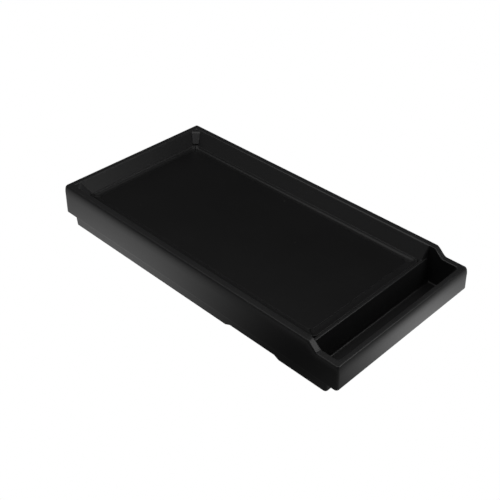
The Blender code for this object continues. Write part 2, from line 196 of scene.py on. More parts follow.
def mesh_object(name, points, faces, material, edge=None, join=2e-6, sharp=None):
    """A mesh from arrays, its doubles joined and its faces turned outwards."""
    mesh = bpy.data.meshes.new(name)
    mesh.from_pydata(np.asarray(points).tolist(), [], [list(face) for face in faces])
    # The edge attribute marks where rounded edges are painted paler: a painted highlight, mixed with
    # wear.
    if edge is not None:
        layer = mesh.attributes.new("edge", "FLOAT", "POINT")
        layer.data.foreach_set("value", np.asarray(edge, np.float32))
    work = bmesh.new()
    work.from_mesh(mesh)
    bmesh.ops.remove_doubles(work, verts=work.verts, dist=join)
    bmesh.ops.recalc_face_normals(work, faces=work.faces)
    work.to_mesh(mesh)
    work.free()
    mesh.shade_smooth()
    if sharp is not None:
        mesh.set_sharp_from_angle(angle=math.radians(sharp))
    item = bpy.data.objects.new(name, mesh)
    bpy.context.scene.collection.objects.link(item)
    mesh.materials.append(material)
    return item


# ---------------------------------------------------------------- tray shell surface
ARC_POINTS = 9
END_POINTS = 6
SHORT_POINTS = 26
BASIN_LINE_START, TROUGH_LINE_END = 29.0, 375.0     # first and last fixed station along x


def rim_height(x):
    """High along the basin, then an eased fall to the low rim around the trough."""
    return mix(RIM_HIGH, RIM_LOW, ease((x - STEP_START) / (STEP_END - STEP_START)))


def centre_line(sizes):
    """Basin floor, ridge, trough back wall and trough floor as one line in x and z."""
    crest = sizes.crest_round / MM
    fillet = sizes.trough_fillet / MM
    lean = (TROUGH_FOOT - DAM_FRONT) / (DAM_TOP - TROUGH_FLOOR)
    parts = [
        np.stack((np.linspace(BASIN_LINE_START, DAM_BACK - 6.0, 20), np.full(20, FLOOR_TOP)), 1),
        np.stack((np.linspace(DAM_BACK - 4.0, DAM_BACK - 0.3, 5), np.full(5, FLOOR_TOP)), 1),
        np.array(((DAM_BACK - 0.15, FLOOR_TOP), (DAM_BACK - 0.05, FLOOR_TOP + 0.1),
                  (DAM_BACK - 0.03, DAM_TOP - 0.9))),
        bend((DAM_BACK - 0.02, DAM_TOP - 0.6), (DAM_BACK, DAM_TOP), (DAM_BACK + 0.6, DAM_TOP), 6),
        np.stack((np.linspace(DAM_BACK + 0.8, DAM_FRONT - crest - 0.15, 8), np.full(8, DAM_TOP)), 1),
        bend((DAM_FRONT - crest, DAM_TOP), (DAM_FRONT, DAM_TOP),
             (DAM_FRONT + lean * crest, DAM_TOP - crest), 9),
        np.stack((np.linspace(DAM_FRONT + lean * (crest + 0.5), TROUGH_FOOT - lean * (fillet + 0.5), 9),
                  np.linspace(DAM_TOP - crest - 0.5, TROUGH_FLOOR + fillet + 0.5, 9)), 1),
        bend((TROUGH_FOOT - lean * fillet, TROUGH_FLOOR + fillet), (TROUGH_FOOT, TROUGH_FLOOR),
             (TROUGH_FOOT + fillet, TROUGH_FLOOR), 7),
        np.stack((np.linspace(TROUGH_FOOT + fillet + 0.2, TROUGH_LINE_END, 18),
                  np.full(18, TROUGH_FLOOR)), 1),
    ]
    return np.concatenate(parts)


FRONT_SLOPE = 0.452         # inset per height of the trough's front wall, down to its knee
FRONT_KNEE = 2.5
FRONT_DRAFT = 0.02          # and below it
TROUGH_DRAFT = 0.025        # the same of the trough's side walls


def front_inset(z):
    """Inset of the trough's front wall: sloping inwards, then nearly upright."""
    return (RIM_FRONT + FRONT_SLOPE * (RIM_LOW - np.maximum(z, FRONT_KNEE))
            + FRONT_DRAFT * (FRONT_KNEE - np.minimum(z, FRONT_KNEE)))


class Ring:
    """One row of the shell: insets, heights and corner radii around the tray."""

    def __init__(self, side, height, back, front, back_radius, front_radius, x):
        self.side = np.broadcast_to(np.asarray(side, float), x.shape).copy()
        self.height = np.broadcast_to(np.asarray(height, float), x.shape).copy()
        self.back, self.front = float(back), float(front)
        self.back_radius, self.front_radius = float(back_radius), float(front_radius)
        self.x = x

    def long_line(self):
        """x along a long side: fixed stations, with the ends eased to the corners."""
        x = self.x.copy()
        n = END_POINTS
        start = self.back + self.back_radius
        stop = LENGTH - self.front - self.front_radius
        x[:n] = mix(start, self.x[n], np.linspace(0, 1, n + 1)[:n])
        x[-n:] = mix(self.x[-n - 1], stop, np.linspace(0, 1, n + 1)[1:])
        return x

    def corner(self, cx, cy, radius, start, z):
        """A quarter circle about (cx, cy), without its two end points."""
        angle = np.radians(start + 90.0 * np.arange(1, ARC_POINTS + 1) / (ARC_POINTS + 1))
        return np.stack((cx + radius * np.cos(angle), cy + radius * np.sin(angle),
                         np.full(ARC_POINTS, z)), 1)

    def short(self, x, inset, radius, z):
        """Evenly spaced points across a short side at x."""
        y = np.linspace(inset + radius, WIDTH - inset - radius, SHORT_POINTS)
        return np.stack((np.full(SHORT_POINTS, x), y, np.full(SHORT_POINTS, z)), 1)

    def points(self):
        """The closed row, anticlockwise from above, starting at the near back corner."""
        x = self.long_line()
        near = np.stack((x, self.side, self.height), 1)
        far = np.stack((x, WIDTH - self.side, self.height), 1)[::-1]
        r_back, r_front = self.back_radius, self.front_radius
        z_back, z_front = self.height[0], self.height[-1]
        side_back, side_front = self.side[0], self.side[-1]
        front_x = LENGTH - self.front
        return np.concatenate((
            near,
            self.corner(front_x - r_front, side_front + r_front, r_front, -90, z_front),
            self.short(front_x, side_front, r_front, z_front),
            self.corner(front_x - r_front, WIDTH - side_front - r_front, r_front, 0, z_front),
            far,
            self.corner(self.back + r_back, WIDTH - side_back - r_back, r_back, 90, z_back),
            self.short(self.back, side_back, r_back, z_back)[::-1],
            self.corner(self.back + r_back, side_back + r_back, r_back, 180, z_back),
        ))

    def sheet(self):
        """The surface inside the row: straight lines across from side to side."""
        x = self.long_line()
        v = np.linspace(0, 1, SHORT_POINTS)[None, :]
        y = mix(self.side[:, None], WIDTH - self.side[:, None], v)
        return np.stack(np.broadcast_arrays(x[:, None], y, self.height[:, None]), -1)


FLOOR_SKIN, TROUGH_SKIN = 2.5, 2.0      # thickness of the basin's and the trough's floor
SIDE_SKIN, BACK_SKIN = 2.9, 2.8         # thickness of the sloping walls, measured level
BLEND_START, BLEND_RUN = 0.9, 2.7       # where the side walls turn upright, past the ridge's back
TOP_CORNER_LESS = 1.2                   # the outer corners' radius is so much less at the rim


def shell_rows(sizes):
    """Rows of the shell from the middle of its underside, round the skirt, to the floor.

    The outer wall is a drafted plane with an elliptical crown, the rim is flat with
    a rounded inner edge, and the inner wall is a plane that slopes along the basin
    and stands upright around the trough, mixed over a short length at the ridge.
    """
    line = centre_line(sizes)
    pad = np.zeros(END_POINTS)
    x = np.concatenate((pad, line[:, 0], pad + TROUGH_LINE_END))
    floor = np.concatenate((pad + line[0, 1], line[:, 1], pad + line[-1, 1]))
    rim = rim_height(x)
    upright = ease((x - DAM_BACK - BLEND_START) / BLEND_RUN)
    rim_inset = mix(RIM_SIDE, TROUGH_SIDE, upright)

    def wall(z):
        basin = BASIN_SIDE + SIDE_RUN * (DAM_TOP - z)
        trough = TROUGH_SIDE + TROUGH_DRAFT * (RIM_LOW - z)
        return np.where(upright > 0.999, trough, mix(basin, trough, upright))

    def wall_back(z):
        return BASIN_BACK + BACK_RUN * (DAM_TOP - z)

    # edges hold, per row, how strongly the row is painted paler: a painted highlight along the skirt's
    # lower edge, the crown, the rim top and the rim's inner rounding, mixed with wear.
    rows, edges = [], []

    def row(side, height, back, front, back_radius, front_radius, edge=0.0):
        rows.append(Ring(side, height, back, front, back_radius, front_radius, x))
        edges.append(edge)

    def even(inset, height, radius, edge=0.0):
        row(inset, height, inset, inset, radius, radius, edge)

    # Underside, from the floor's lower face up the hollow rim and down to the skirt.
    hollow = ease((x - DAM_BACK + 2.4) / 2.6)
    under_floor = FLOOR_TOP - FLOOR_SKIN
    below = np.interp(x, (DAM_BACK - 1.0, DAM_BACK + 5.0), (under_floor, TROUGH_FLOOR - TROUGH_SKIN))
    end_side = mix(BASIN_SIDE + SIDE_RUN * (DAM_TOP - under_floor) - SIDE_SKIN,
                   TROUGH_SIDE + 1.0 - WALL, hollow)
    end_back = wall_back(under_floor) - BACK_SKIN
    end_front = front_inset(TROUGH_FLOOR) - WALL
    row(end_side, below, end_back, end_front, 0.0, 0.0)
    row(end_side, below + 0.2, end_back, end_front, 0.5, 0.5)
    for step in np.linspace(0.15, 1.0, 8):
        z = mix(below, rim - WALL, step)
        side = mix(BASIN_SIDE + SIDE_RUN * (DAM_TOP - z) - SIDE_SKIN, TROUGH_SIDE + 0.5 - WALL, hollow)
        front = max(float(front_inset(z[-1])) - WALL, 5.6)
        row(side, z, wall_back(z[0]) - BACK_SKIN, front, 0.8, 0.8)
    even(4.2, rim - WALL, 1.0)
    even(WALL_DRAFT + WALL, rim - CROWN_DEPTH, 1.2)
    level = np.zeros_like(rim)
    even(WALL, level, 1.2)

    # Skirt's lower edge and the drafted outer wall.
    outer = sizes.outer_corner / MM
    skirt = sizes.skirt_round / MM
    even(skirt + 0.3, level, outer)
    for inset, z in bend((skirt, 0.0), (0.0, 0.0), (0.02, skirt), 6):
        even(inset, z + level, outer, 0.6)
    crown_foot = rim - CROWN_DEPTH
    for step in (0.06, 0.35, 0.7, 0.97):
        even(WALL_DRAFT * step, crown_foot * step, outer)
    tip = CROWN_DEPTH / CROWN_INSET
    for lean in np.radians(np.linspace(0.0, 90.0, 19)):
        turn = math.atan2(tip * math.sin(lean), math.cos(lean))
        even(WALL_DRAFT + CROWN_INSET * (1 - math.cos(turn)), rim - CROWN_DEPTH * (1 - math.sin(turn)),
             outer - TOP_CORNER_LESS * math.sin(turn), float(math.sin(lean) ** 3))

    # Flat rim top and its rounded inner edge.
    lip = sizes.rim_round / MM
    inner = sizes.inner_corner / MM
    flat = lip + 0.35
    even(WALL_DRAFT + CROWN_INSET + 0.3, rim, outer - TOP_CORNER_LESS, 0.3)
    row(rim_inset - flat, rim, RIM_BACK - flat, RIM_FRONT - flat, SHORT_CORNER, inner, 0.3)
    drop = 0.8 * lip
    for t in np.linspace(0.0, 1.0, 9):
        start, middle, stop = (1 - t) ** 2, 2 * t * (1 - t), t * t
        z = rim - stop * drop
        side = start * (rim_inset - lip) + middle * rim_inset + stop * wall(rim - drop)
        back = start * (RIM_BACK - lip) + middle * RIM_BACK + stop * wall_back(RIM_HIGH - drop)
        front = (start * (RIM_FRONT - lip) + middle * RIM_FRONT
                 + stop * float(front_inset(RIM_LOW - drop)))
        row(side, z, back, front, SHORT_CORNER, inner, float(math.sin(math.pi * t)))

    # Inner wall down to the fillet at its foot.
    in_trough = ease((x - DAM_FRONT) / 2.0)
    fillet = mix(0.6, sizes.trough_fillet / MM, in_trough)
    top, foot = rim - drop, floor + fillet
    for step in np.concatenate(((0.015,), np.linspace(0.05, 0.97, 24))):
        z = mix(top, foot, step)
        row(wall(z), z, wall_back(z[0]), float(front_inset(z[-1])), SHORT_CORNER, inner)
    for t in np.linspace(0.0, 1.0, 8):
        start, middle, stop = (1 - t) ** 2, 2 * t * (1 - t), t * t
        z = start * foot + (middle + stop) * floor
        side = start * wall(foot) + middle * wall(floor) + stop * (wall(floor) + fillet)
        back = (start * wall_back(foot[0]) + middle * wall_back(floor[0])
                + stop * (wall_back(floor[0]) + fillet[0]))
        front = (start * float(front_inset(foot[-1])) + middle * float(front_inset(floor[-1]))
                 + stop * (float(front_inset(floor[-1])) + fillet[-1]))
        row(side, z, back, front, SHORT_CORNER * (1 - t), inner * (1 - t))
    return rows, edges


def shell_mesh(sizes):
    """The shell's rows skinned in turn, and closed by a sheet inside its first and last row."""
    rows, edges = shell_rows(sizes)
    rings = np.stack([ring.points() for ring in rows])
    count = rings.shape[1]
    points = [rings.reshape(-1, 3)]
    edge = [np.repeat(np.array(edges), count)]
    faces = [strip_faces(len(rows), count)]
    offset = len(rows) * count
    for ring in (rows[0], rows[-1]):
        sheet = ring.sheet()
        faces.append(strip_faces(sheet.shape[0], sheet.shape[1], offset, closed=False))
        points.append(sheet.reshape(-1, 3))
        edge.append(np.zeros(sheet.shape[0] * sheet.shape[1]))
        offset += sheet.shape[0] * sheet.shape[1]
    return np.concatenate(points), np.concatenate(faces), np.concatenate(edge)


def capped_faces(rows, count):
    """Faces of a stack of closed rings, with one flat face at both ends."""
    last = (rows - 1) * count
    caps = [list(range(count)), list(range(last, last + count))]
    return strip_faces(rows, count).tolist() + caps


POST_FOOT = 0.7             # above the ridge's height
POST_HEAD = 1.0             # below the rim
POST_HALF = (3.9, 5.7)      # half width at the foot and at the head
POST_REACH = (4.9, 6.6)     # reach out of the corner at the foot and at the head
POST_ROOT = -2.0            # how far it goes into the walls
POST_TURN = 6               # points round one upright edge


def post_mesh(near, sizes):
    """A diagonal corner post: rounded outlines stacked up the slope of the walls.

    Each outline runs up one flank, round the front and down the other flank in the
    diagonal directions p (along the face) and q (out of the corner).  The outlines
    shrink by a quarter circle at the foot and at the head.  The two upright edges and
    the foot are marked to be painted paler: a painted highlight, mixed with wear.
    """
    soft = sizes.post_round / MM
    low, high = DAM_TOP + POST_FOOT, RIM_HIGH - POST_HEAD
    turn = np.linspace(0, math.pi / 2, 9)
    middle = np.linspace(low + soft * 1.2, high - soft * 1.2, 7)
    rise, fall = soft * (1 - np.cos(turn)), soft * (1 - np.sin(turn))
    levels = np.concatenate((low + rise, middle, high - fall))
    shrink = np.concatenate((fall, np.zeros(len(middle)), rise))
    root = math.sqrt(0.5)
    rings = []
    for z, less in zip(levels, shrink):
        up = (z - low) / (high - low)
        half = mix(*POST_HALF, up) - less
        front = mix(*POST_REACH, up) - less
        edge = bend((half, front - soft), (half, front), (half - soft, front), POST_TURN)
        right = np.concatenate(([(half, POST_ROOT)], [(half, front - 2 * soft)], edge))
        outline = np.concatenate((right, right[::-1] * (-1, 1)))
        p, q = outline[:, 0], outline[:, 1]
        cx = BASIN_BACK + BACK_RUN * (DAM_TOP - z)
        cy = BASIN_SIDE + SIDE_RUN * (DAM_TOP - z)
        px = cx + (q + p) * root
        py = cy + (q - p) * root
        rings.append(np.stack((px, py if near else WIDTH - py, np.full(len(p), z)), 1))
    rings = np.stack(rings)
    rows, count = rings.shape[:2]
    # The upright edges and the foot are marked for a painted highlight, mixed with wear.
    mark = np.zeros((rows, count))
    mark[:, 2:2 + POST_TURN] = mark[:, -2 - POST_TURN:-2] = 2.0
    mark[:len(turn)] = 2.0
    return rings.reshape(-1, 3), capped_faces(rows, count), mark.ravel()


# ---------------------------------------------------------------- liner surface
CORNER_ARC = 10             # steps in a rounded corner
MITRE_GAP = 0.16            # taken off both ends of an edge strip
LINER_CORNER = 6.5
LINER_CLEAR = 0.36          # from the liner's upper edge to the basin walls
RIDGE_CLEAR = 0.32          # and to the ridge in front of the trough
EDGE_WIDTH = 0.9            # width of the strips' round upper edge
MAT_GAP = 0.3               # between the strips and the mat


def round_row(back, front, side, radius, z, sides=12, arc=CORNER_ARC):
    """A rounded rectangle by insets, anticlockwise, with evenly spaced sides."""
    x0, x1, y0, y1 = back, LENGTH - front, side, WIDTH - side
    turns = np.linspace(0, 1, arc + 1)
    pieces = []
    for cx, cy, start in ((x1 - radius, y0 + radius, -90), (x1 - radius, y1 - radius, 0),
                          (x0 + radius, y1 - radius, 90), (x0 + radius, y0 + radius, 180)):
        angle = np.radians(start + 90.0 * turns)
        pieces.append(np.stack((cx + radius * np.cos(angle), cy + radius * np.sin(angle)), 1))
    spans = []
    for here, there in zip(pieces, pieces[1:] + pieces[:1]):
        t = np.linspace(0, 1, sides + 2)[1:-1, None]
        spans.append(here)
        spans.append(mix(here[-1], there[0], t))
    flat = np.concatenate(spans)
    return np.column_stack((flat, np.full(len(flat), z)))


def section_height(corner):
    """The height of a CAD box's corner, in section millimetres."""
    return (corner.z - ORIGIN[2]) / MM


def liner_outline():
    """Insets of the liner's outer edge: from the back, from the sides and from the front."""
    below = DAM_TOP - section_height(STRIP_HIGH)
    return (BASIN_BACK + BACK_RUN * below + LINER_CLEAR,
            BASIN_SIDE + SIDE_RUN * below + LINER_CLEAR,
            LENGTH - DAM_BACK + RIDGE_CLEAR)


def border_rings(sizes):
    """Rings of the liner's edge: a thin round upper edge, a steep cove and an upright inner face.

    The cove falls from the edge to the mat with the fourth power of what is left of it.
    """
    low, high, floor = (section_height(corner) for corner in (STRIP_LOW, STRIP_HIGH, MAT_HIGH))
    cove, ramp = sizes.liner_cove / MM, sizes.liner_ramp / MM
    back, side, front = liner_outline()
    rows, edge = [], []

    def row(inset, ahead, radius, z, mark=0.0):
        rows.append(round_row(back + inset, front + ahead, side + inset, radius, z))
        edge.append(mark)

    tight = LINER_CORNER - 1.0
    row(0.0, 0.0, tight, mix(low, high, 0.5))
    # The round upper edge and the top of the cove are marked to be painted paler: a painted highlight,
    # mixed with wear.
    for t in np.linspace(0, 1, 7):
        out = 0.45 * t * t
        row(out, out, LINER_CORNER, high - 0.4 * (1 - t) ** 2, float(math.sin(math.pi * t)))
    for t in np.concatenate((np.linspace(0.0, 0.06, 3), np.linspace(0.1, 1.0, 16))):
        row(EDGE_WIDTH + cove * t, EDGE_WIDTH + ramp * t, LINER_CORNER,
            mix(floor, high, (1 - t) ** 4), float((1 - t) ** 6))
    toe, ahead = EDGE_WIDTH + cove, EDGE_WIDTH + ramp
    for t in np.linspace(0.15, 1, 4):
        row(toe + 0.15 * t, ahead + 0.15 * t, LINER_CORNER, floor - 0.3 * t * t)
    row(toe + 0.15, ahead + 0.15, LINER_CORNER, low)
    row(toe - 0.6, ahead - 0.6, LINER_CORNER, low)
    row(0.6, 0.6, tight, low)
    row(0.0, 0.0, tight, low + 0.3)
    return np.stack(rows), np.array(edge)


def strip_mesh(sizes, turn):
    """One edge strip: the rings' points from the middle of one corner to the next.

    Both ends are drawn in along the strip to leave a thin mitre gap.  turn is 0 for
    the strip along the ridge, then 1, 2 and 3 anticlockwise from above.
    """
    rings, edge = border_rings(sizes)
    count = rings.shape[1]
    quarter = count // 4
    first = turn * quarter + CORNER_ARC // 2
    part = rings[:, (first + np.arange(quarter + 1)) % count].copy()
    along = part[:, -1] - part[:, 0]
    along /= np.linalg.norm(along, axis=1, keepdims=True)
    part[:, 0] += MITRE_GAP * along
    part[:, -1] -= MITRE_GAP * along
    rows, columns = part.shape[:2]
    quads = strip_faces(rows + 1, columns, closed=False) % (rows * columns)
    start = np.arange(rows) * columns
    ends = [start.tolist(), (start + columns - 1).tolist()]
    return part.reshape(-1, 3), quads.tolist() + ends, np.repeat(edge, columns)


def mat_mesh(sizes):
    """The flat mat: upright sides with a quadratic rounding at the upper edge."""
    low, high = section_height(MAT_LOW), section_height(MAT_HIGH)
    back, side, front = liner_outline()
    inset = EDGE_WIDTH + sizes.liner_cove / MM + MAT_GAP
    ahead = EDGE_WIDTH + sizes.liner_ramp / MM + MAT_GAP
    soft = sizes.mat_round / MM
    rows, edge = [], []

    def row(more, z, mark=0.0):
        rows.append(round_row(back + inset + more, front + ahead + more, side + inset + more,
                              LINER_CORNER, z))
        edge.append(mark)

    row(soft, low)
    row(0.0, low + soft)
    # The rounded upper edge is marked to be painted paler: a painted highlight, mixed with wear.
    for t in np.linspace(0, 1, 6):
        row(soft * t * t, high - soft * (1 - t) ** 2, float(math.sin(math.pi * t)))
    row(soft + 0.5, high)
    rings = np.stack(rows)
    rows, count = rings.shape[:2]
    return rings.reshape(-1, 3), capped_faces(rows, count), np.repeat(np.array(edge), count)


# ---------------------------------------------------------------- shader groups
def node(tree, kind, at=(0, 0), **values):
    """A new node with its settings."""
    made = tree.nodes.new(kind)
    made.location = at
    for key, value in values.items():
        setattr(made, key, value)
    return made


def math_node(tree, operation, a, b=None, clamp=False):
    """The result of a sum on two numbers or sockets."""
    made = node(tree, "ShaderNodeMath", operation=operation, use_clamp=clamp)
    for slot, value in enumerate((a, b)):
        if value is None:
            continue
        if isinstance(value, (int, float)):
            made.inputs[slot].default_value = value
        else:
            tree.links.new(value, made.inputs[slot])
    return made.outputs[0]


def new_group(name, inputs, outputs):
    """An empty shader group; inputs are (name, default) and outputs are names."""
    group = bpy.data.node_groups.new(name, "ShaderNodeTree")
    for label, default in inputs:
        kind = "NodeSocketFloat" if isinstance(default, float) else "NodeSocketVector"
        made = group.interface.new_socket(name=label, in_out="INPUT", socket_type=kind)
        if isinstance(default, float):
            made.default_value = default
    for label in outputs:
        group.interface.new_socket(name=label, in_out="OUTPUT", socket_type="NodeSocketFloat")
    return group, node(group, "NodeGroupInput", (-900, 0)), node(group, "NodeGroupOutput", (900, 0))


def grain_group():
    """Spark-eroded mould grain: two noises, a fine one and a pebbled one, as a height."""
    group, given, out = new_group("moulded_grain", (("Vector", None), ("Grain", 1800.0)), ("Height",))
    fine = node(group, "ShaderNodeTexNoise", (-500, 120))
    fine.inputs["Detail"].default_value = 2.0
    group.links.new(given.outputs["Vector"], fine.inputs["Vector"])
    group.links.new(given.outputs["Grain"], fine.inputs["Scale"])
    coarse = node(group, "ShaderNodeTexVoronoi", (-500, -160), feature="SMOOTH_F1")
    group.links.new(given.outputs["Vector"], coarse.inputs["Vector"])
    group.links.new(math_node(group, "MULTIPLY", given.outputs["Grain"], 0.45), coarse.inputs["Scale"])
    total = math_node(group, "ADD", fine.outputs[0],
                      math_node(group, "MULTIPLY", coarse.outputs["Distance"], 0.6))
    group.links.new(total, out.inputs["Height"])
    return group


def handling_group():
    """Marks of use: broad smears for the gloss and fine hairline scuffs."""
    group, given, out = new_group("handling", (("Vector", None), ("Spread", 14.0)),
                                  ("Smear", "Scuff"))
    broad = node(group, "ShaderNodeTexNoise", (-500, 200))
    broad.inputs["Detail"].default_value = 4.0
    broad.inputs["Roughness"].default_value = 0.6
    group.links.new(given.outputs["Vector"], broad.inputs["Vector"])
    group.links.new(given.outputs["Spread"], broad.inputs["Scale"])
    group.links.new(broad.outputs[0], out.inputs["Smear"])
    stretch = node(group, "ShaderNodeMapping", (-700, -150))
    stretch.inputs["Rotation"].default_value = (0.0, 0.0, 0.5)
    stretch.inputs["Scale"].default_value = (60.0, 900.0, 400.0)
    group.links.new(given.outputs["Vector"], stretch.inputs["Vector"])
    hair = node(group, "ShaderNodeTexNoise", (-500, -150))
    hair.inputs["Scale"].default_value = 1.0
    hair.inputs["Detail"].default_value = 1.0
    group.links.new(stretch.outputs[0], hair.inputs["Vector"])
    thin = math_node(group, "SUBTRACT", hair.outputs[0], 0.68, clamp=True)
    patch = math_node(group, "SUBTRACT", broad.outputs[0], 0.45, clamp=True)
    scuff = math_node(group, "MULTIPLY", math_node(group, "MULTIPLY", thin, 5.0),
                      math_node(group, "MULTIPLY", patch, 4.0), clamp=True)
    group.links.new(scuff, out.inputs["Scuff"])
    return group


def dust_group():
    """Sparse specks of dust that lie on faces that look up."""
    group, given, out = new_group("dust", (("Vector", None), ("Amount", 0.02)), ("Mask",))
    cells = node(group, "ShaderNodeTexVoronoi", (-500, 0))
    cells.inputs["Scale"].default_value = 260.0
    group.links.new(given.outputs["Vector"], cells.inputs["Vector"])
    split = node(group, "ShaderNodeSeparateColor", (-300, -120))
    group.links.new(cells.outputs["Color"], split.inputs[0])
    chosen = math_node(group, "LESS_THAN", split.outputs[0], given.outputs["Amount"])
    small = math_node(group, "LESS_THAN", cells.outputs["Distance"],
                      math_node(group, "MULTIPLY", split.outputs[1], 0.16))
    surface = node(group, "ShaderNodeNewGeometry", (-500, -300))
    axes = node(group, "ShaderNodeSeparateXYZ", (-300, -300))
    group.links.new(surface.outputs["Normal"], axes.inputs[0])
    up = math_node(group, "GREATER_THAN", axes.outputs["Z"], 0.6)
    mask = math_node(group, "MULTIPLY", math_node(group, "MULTIPLY", chosen, small), up)
    group.links.new(mask, out.inputs["Mask"])
    return group


def use_group(tree, name, maker, vector, at, **values):
    """Place a shared group in a material; it is made the first time it is asked for."""
    group = bpy.data.node_groups.get(name) or maker()
    made = node(tree, "ShaderNodeGroup", at, node_tree=group)
    tree.links.new(vector, made.inputs["Vector"])
    for key, value in values.items():
        made.inputs[key].default_value = value
    return made


def mix_colour(tree, base, other, mask, at):
    """base where the mask is 0, other where it is 1; both are colours or sockets."""
    made = node(tree, "ShaderNodeMix", at, data_type="RGBA")
    for slot, value in ((6, base), (7, other)):
        if isinstance(value, tuple):
            made.inputs[slot].default_value = (*value, 1.0)
        else:
            tree.links.new(value, made.inputs[slot])
    tree.links.new(mask, made.inputs[0])
    return made.outputs[2]


DUST_COLOUR = (0.32, 0.31, 0.29)
GRAIN_DEPTH = 0.0002        # metres
EDGE_HIGHLIGHT_WEAR = 1.3             # how pale a fully marked edge is painted: painted highlight, mixed with wear


def plastic(name, tint, roughness, grain=1800.0, relief=0.05, dust=0.012, edge=True,
            specular=0.5):
    """Moulded black plastic: grain, smeared gloss, edges painted paler (painted highlight, mixed with
    wear), scuffs and dust.
    """
    material = bpy.data.materials.new(name)
    material.use_nodes = True
    tree = material.node_tree
    shader = tree.nodes["Principled BSDF"]
    shader.inputs["Specular IOR Level"].default_value = specular
    where = node(tree, "ShaderNodeTexCoord", (-1400, 0)).outputs["Object"]
    grained = use_group(tree, "moulded_grain", grain_group, where, (-1100, -300), Grain=grain)
    handled = use_group(tree, "handling", handling_group, where, (-1100, 100))
    dusty = use_group(tree, "dust", dust_group, where, (-1100, 300), Amount=dust)

    pale = tuple(min(1.0, c * 2.2 + 0.01) for c in tint)
    deep = tuple(c * 0.85 for c in tint)
    shade = mix_colour(tree, deep, tuple(c * 1.15 for c in tint), handled.outputs["Smear"], (-700, 300))
    shade = mix_colour(tree, shade, pale, handled.outputs["Scuff"], (-500, 300))
    gloss = math_node(tree, "ADD", math_node(tree, "MULTIPLY", handled.outputs["Smear"], 0.10),
                      roughness - 0.05)
    gloss = math_node(tree, "ADD", gloss, math_node(tree, "MULTIPLY", handled.outputs["Scuff"], 0.10))
    # Painted highlight and wear: points marked in the edge attribute are painted paler and made
    # glossier.
    if edge:
        mark = node(tree, "ShaderNodeAttribute", (-1100, 500), attribute_name="edge")
        highlight_wear = math_node(tree, "MULTIPLY", mark.outputs["Fac"], handled.outputs["Smear"])
        highlight_wear_pale = math_node(tree, "MULTIPLY", highlight_wear, EDGE_HIGHLIGHT_WEAR, clamp=True)
        shade = mix_colour(tree, shade, pale, highlight_wear_pale, (-300, 300))
        gloss = math_node(tree, "SUBTRACT", gloss, math_node(tree, "MULTIPLY", highlight_wear, 0.10), clamp=True)
    shade = mix_colour(tree, shade, DUST_COLOUR, dusty.outputs["Mask"], (-100, 300))
    gloss = math_node(tree, "MAXIMUM", gloss, dusty.outputs["Mask"], clamp=True)
    tree.links.new(shade, shader.inputs["Base Color"])
    tree.links.new(gloss, shader.inputs["Roughness"])
    bump = node(tree, "ShaderNodeBump", (-300, -300))
    bump.inputs["Strength"].default_value = relief
    bump.inputs["Distance"].default_value = GRAIN_DEPTH
    tree.links.new(grained.outputs["Height"], bump.inputs["Height"])
    tree.links.new(bump.outputs[0], shader.inputs["Normal"])
    return material


def steel(name, tint):
    """Zinc-plated steel: a fine grain with the same marks of use, on metal."""
    material = plastic(name, tint, 0.34, grain=2600.0, relief=0.08, dust=0.0, edge=False)
    material.node_tree.nodes["Principled BSDF"].inputs["Metallic"].default_value = 1.0
    return material


def clothe(names, material):
    """Give CAD nodes that stay visible a finished material."""
    for name in names:
        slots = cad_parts[name].data.materials
        slots.clear()
        slots.append(material)


# ---------------------------------------------------------------- operators
class TRAY_OT_shell(bpy.types.Operator):
    """Make the tray moulding: rim, sloping walls, trough, skirt and corner posts"""

    bl_idname = "tray.make_shell"
    bl_label = "Make tray shell"

    def execute(self, context):
        sizes, finish = context.scene.tray_sizes, context.scene.tray_finish
        material = plastic("shell_plastic_fine", tuple(finish.shell_colour), finish.shell_gloss)
        points, faces, edge = shell_mesh(sizes)
        shell = mesh_object("tray_shell_skin", place(points), faces.tolist(), material, edge)
        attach(shell, "tray")
        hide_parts("tray_shell")
        for near, name in ((True, "corner_post_near"), (False, "corner_post_far")):
            points, faces, edge = post_mesh(near, sizes)
            post = mesh_object(name, place(points), faces, material, edge, sharp=60)
            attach(post, "tray")
        return {"FINISHED"}


class TRAY_OT_liner(bpy.types.Operator):
    """Make the loose liner: the flat mat and the four coved strips round it"""

    bl_idname = "tray.make_liner"
    bl_label = "Make basin liner"

    def execute(self, context):
        sizes, finish = context.scene.tray_sizes, context.scene.tray_finish
        edging = plastic("liner_plastic_fine", tuple(finish.liner_colour), finish.liner_gloss,
                         specular=0.4)
        sheet = plastic("mat_plastic_fine", tuple(finish.mat_colour), finish.mat_gloss)
        pieces = [("liner_mat", mat_mesh(sizes), sheet, "mat_plastic")]
        for turn, side in enumerate(("front", "far", "back", "near")):
            pieces.append(("liner_edge_" + side, strip_mesh(sizes, turn), edging, "liner_plastic"))
        for name, (points, faces, edge), material, slot in pieces:
            item = mesh_object(name + "_skin", place(points), faces, material, edge)
            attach(item, "liner")
            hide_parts(name)
        return {"FINISHED"}


class TRAY_OT_base(bpy.types.Operator):
    """Finish the base pan, its screws and its rubber feet"""

    bl_idname = "tray.finish_base"
    bl_label = "Finish base"

    def execute(self, context):
        finish = context.scene.tray_finish
        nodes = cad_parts
        clothe(["base_pan"], plastic("pan_plastic_fine", tuple(finish.pan_colour), 0.36, edge=False))
        clothe([n for n in nodes if n.startswith("base_screw")],
               steel("screw_steel_fine", tuple(finish.steel_colour)))
        clothe([n for n in nodes if n.startswith("rubber_foot")],
               plastic("foot_rubber_fine", tuple(finish.rubber_colour), 0.75, grain=1200.0,
                       relief=0.25, edge=False))
        return {"FINISHED"}


